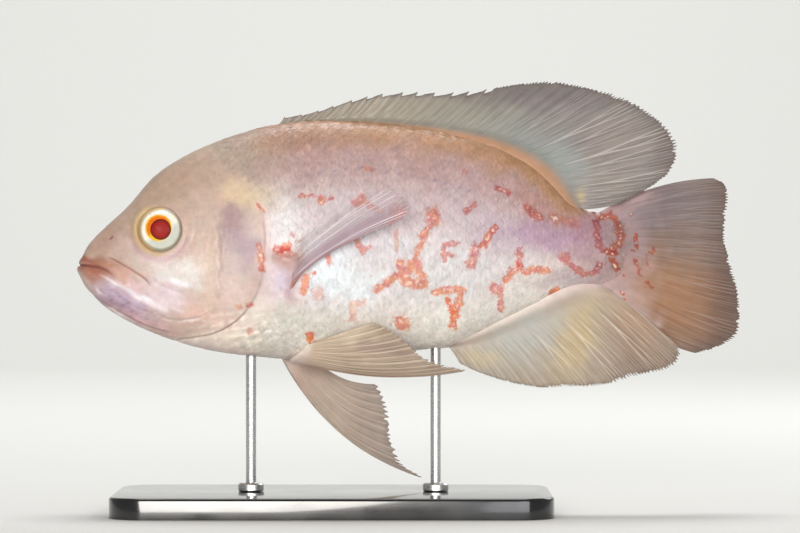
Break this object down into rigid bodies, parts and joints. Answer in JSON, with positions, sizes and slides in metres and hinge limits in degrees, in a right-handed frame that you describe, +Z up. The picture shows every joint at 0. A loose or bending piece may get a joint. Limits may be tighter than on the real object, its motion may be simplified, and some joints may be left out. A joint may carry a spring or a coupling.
{
  "type": "fish model",
  "caption": "Life-size still model of an albino oscar fish with spread fins, held on a plain two-rod display stand.",
  "frame": {"origin": "on the floor, under the middle of the fish's length and width", "axes": "-X the way the fish faces, -Y its left side, +Z up"},
  "size_m": [0.2602, 0.09, 0.1683],
  "materials": {
    "albino_skin": "satin",
    "jaw_skin": "satin",
    "fin_membrane": "satin",
    "eye": "gloss",
    "brushed_steel": "brushed",
    "black_acrylic": "polished"
  },
  "bodies": {
    "root": {"head": "albino_skin", "gill_cover_left": "albino_skin", "gill_cover_right": "albino_skin", "trunk": "albino_skin", "tail_stalk": "albino_skin", "jaw_lower": "jaw_skin", "eye_left": "eye", "eye_right": "eye", "dorsal_fin_spiny": "fin_membrane", "dorsal_fin_soft": "fin_membrane", "anal_fin": "fin_membrane", "caudal_fin": "fin_membrane", "pectoral_fin_left": "fin_membrane", "pectoral_fin_right": "fin_membrane", "pelvic_fin_left": "fin_membrane", "pelvic_fin_right": "fin_membrane", "stand_base": "black_acrylic", "stand_rod_front": "brushed_steel", "stand_rod_rear": "brushed_steel"}
  },
  "joints": []
}
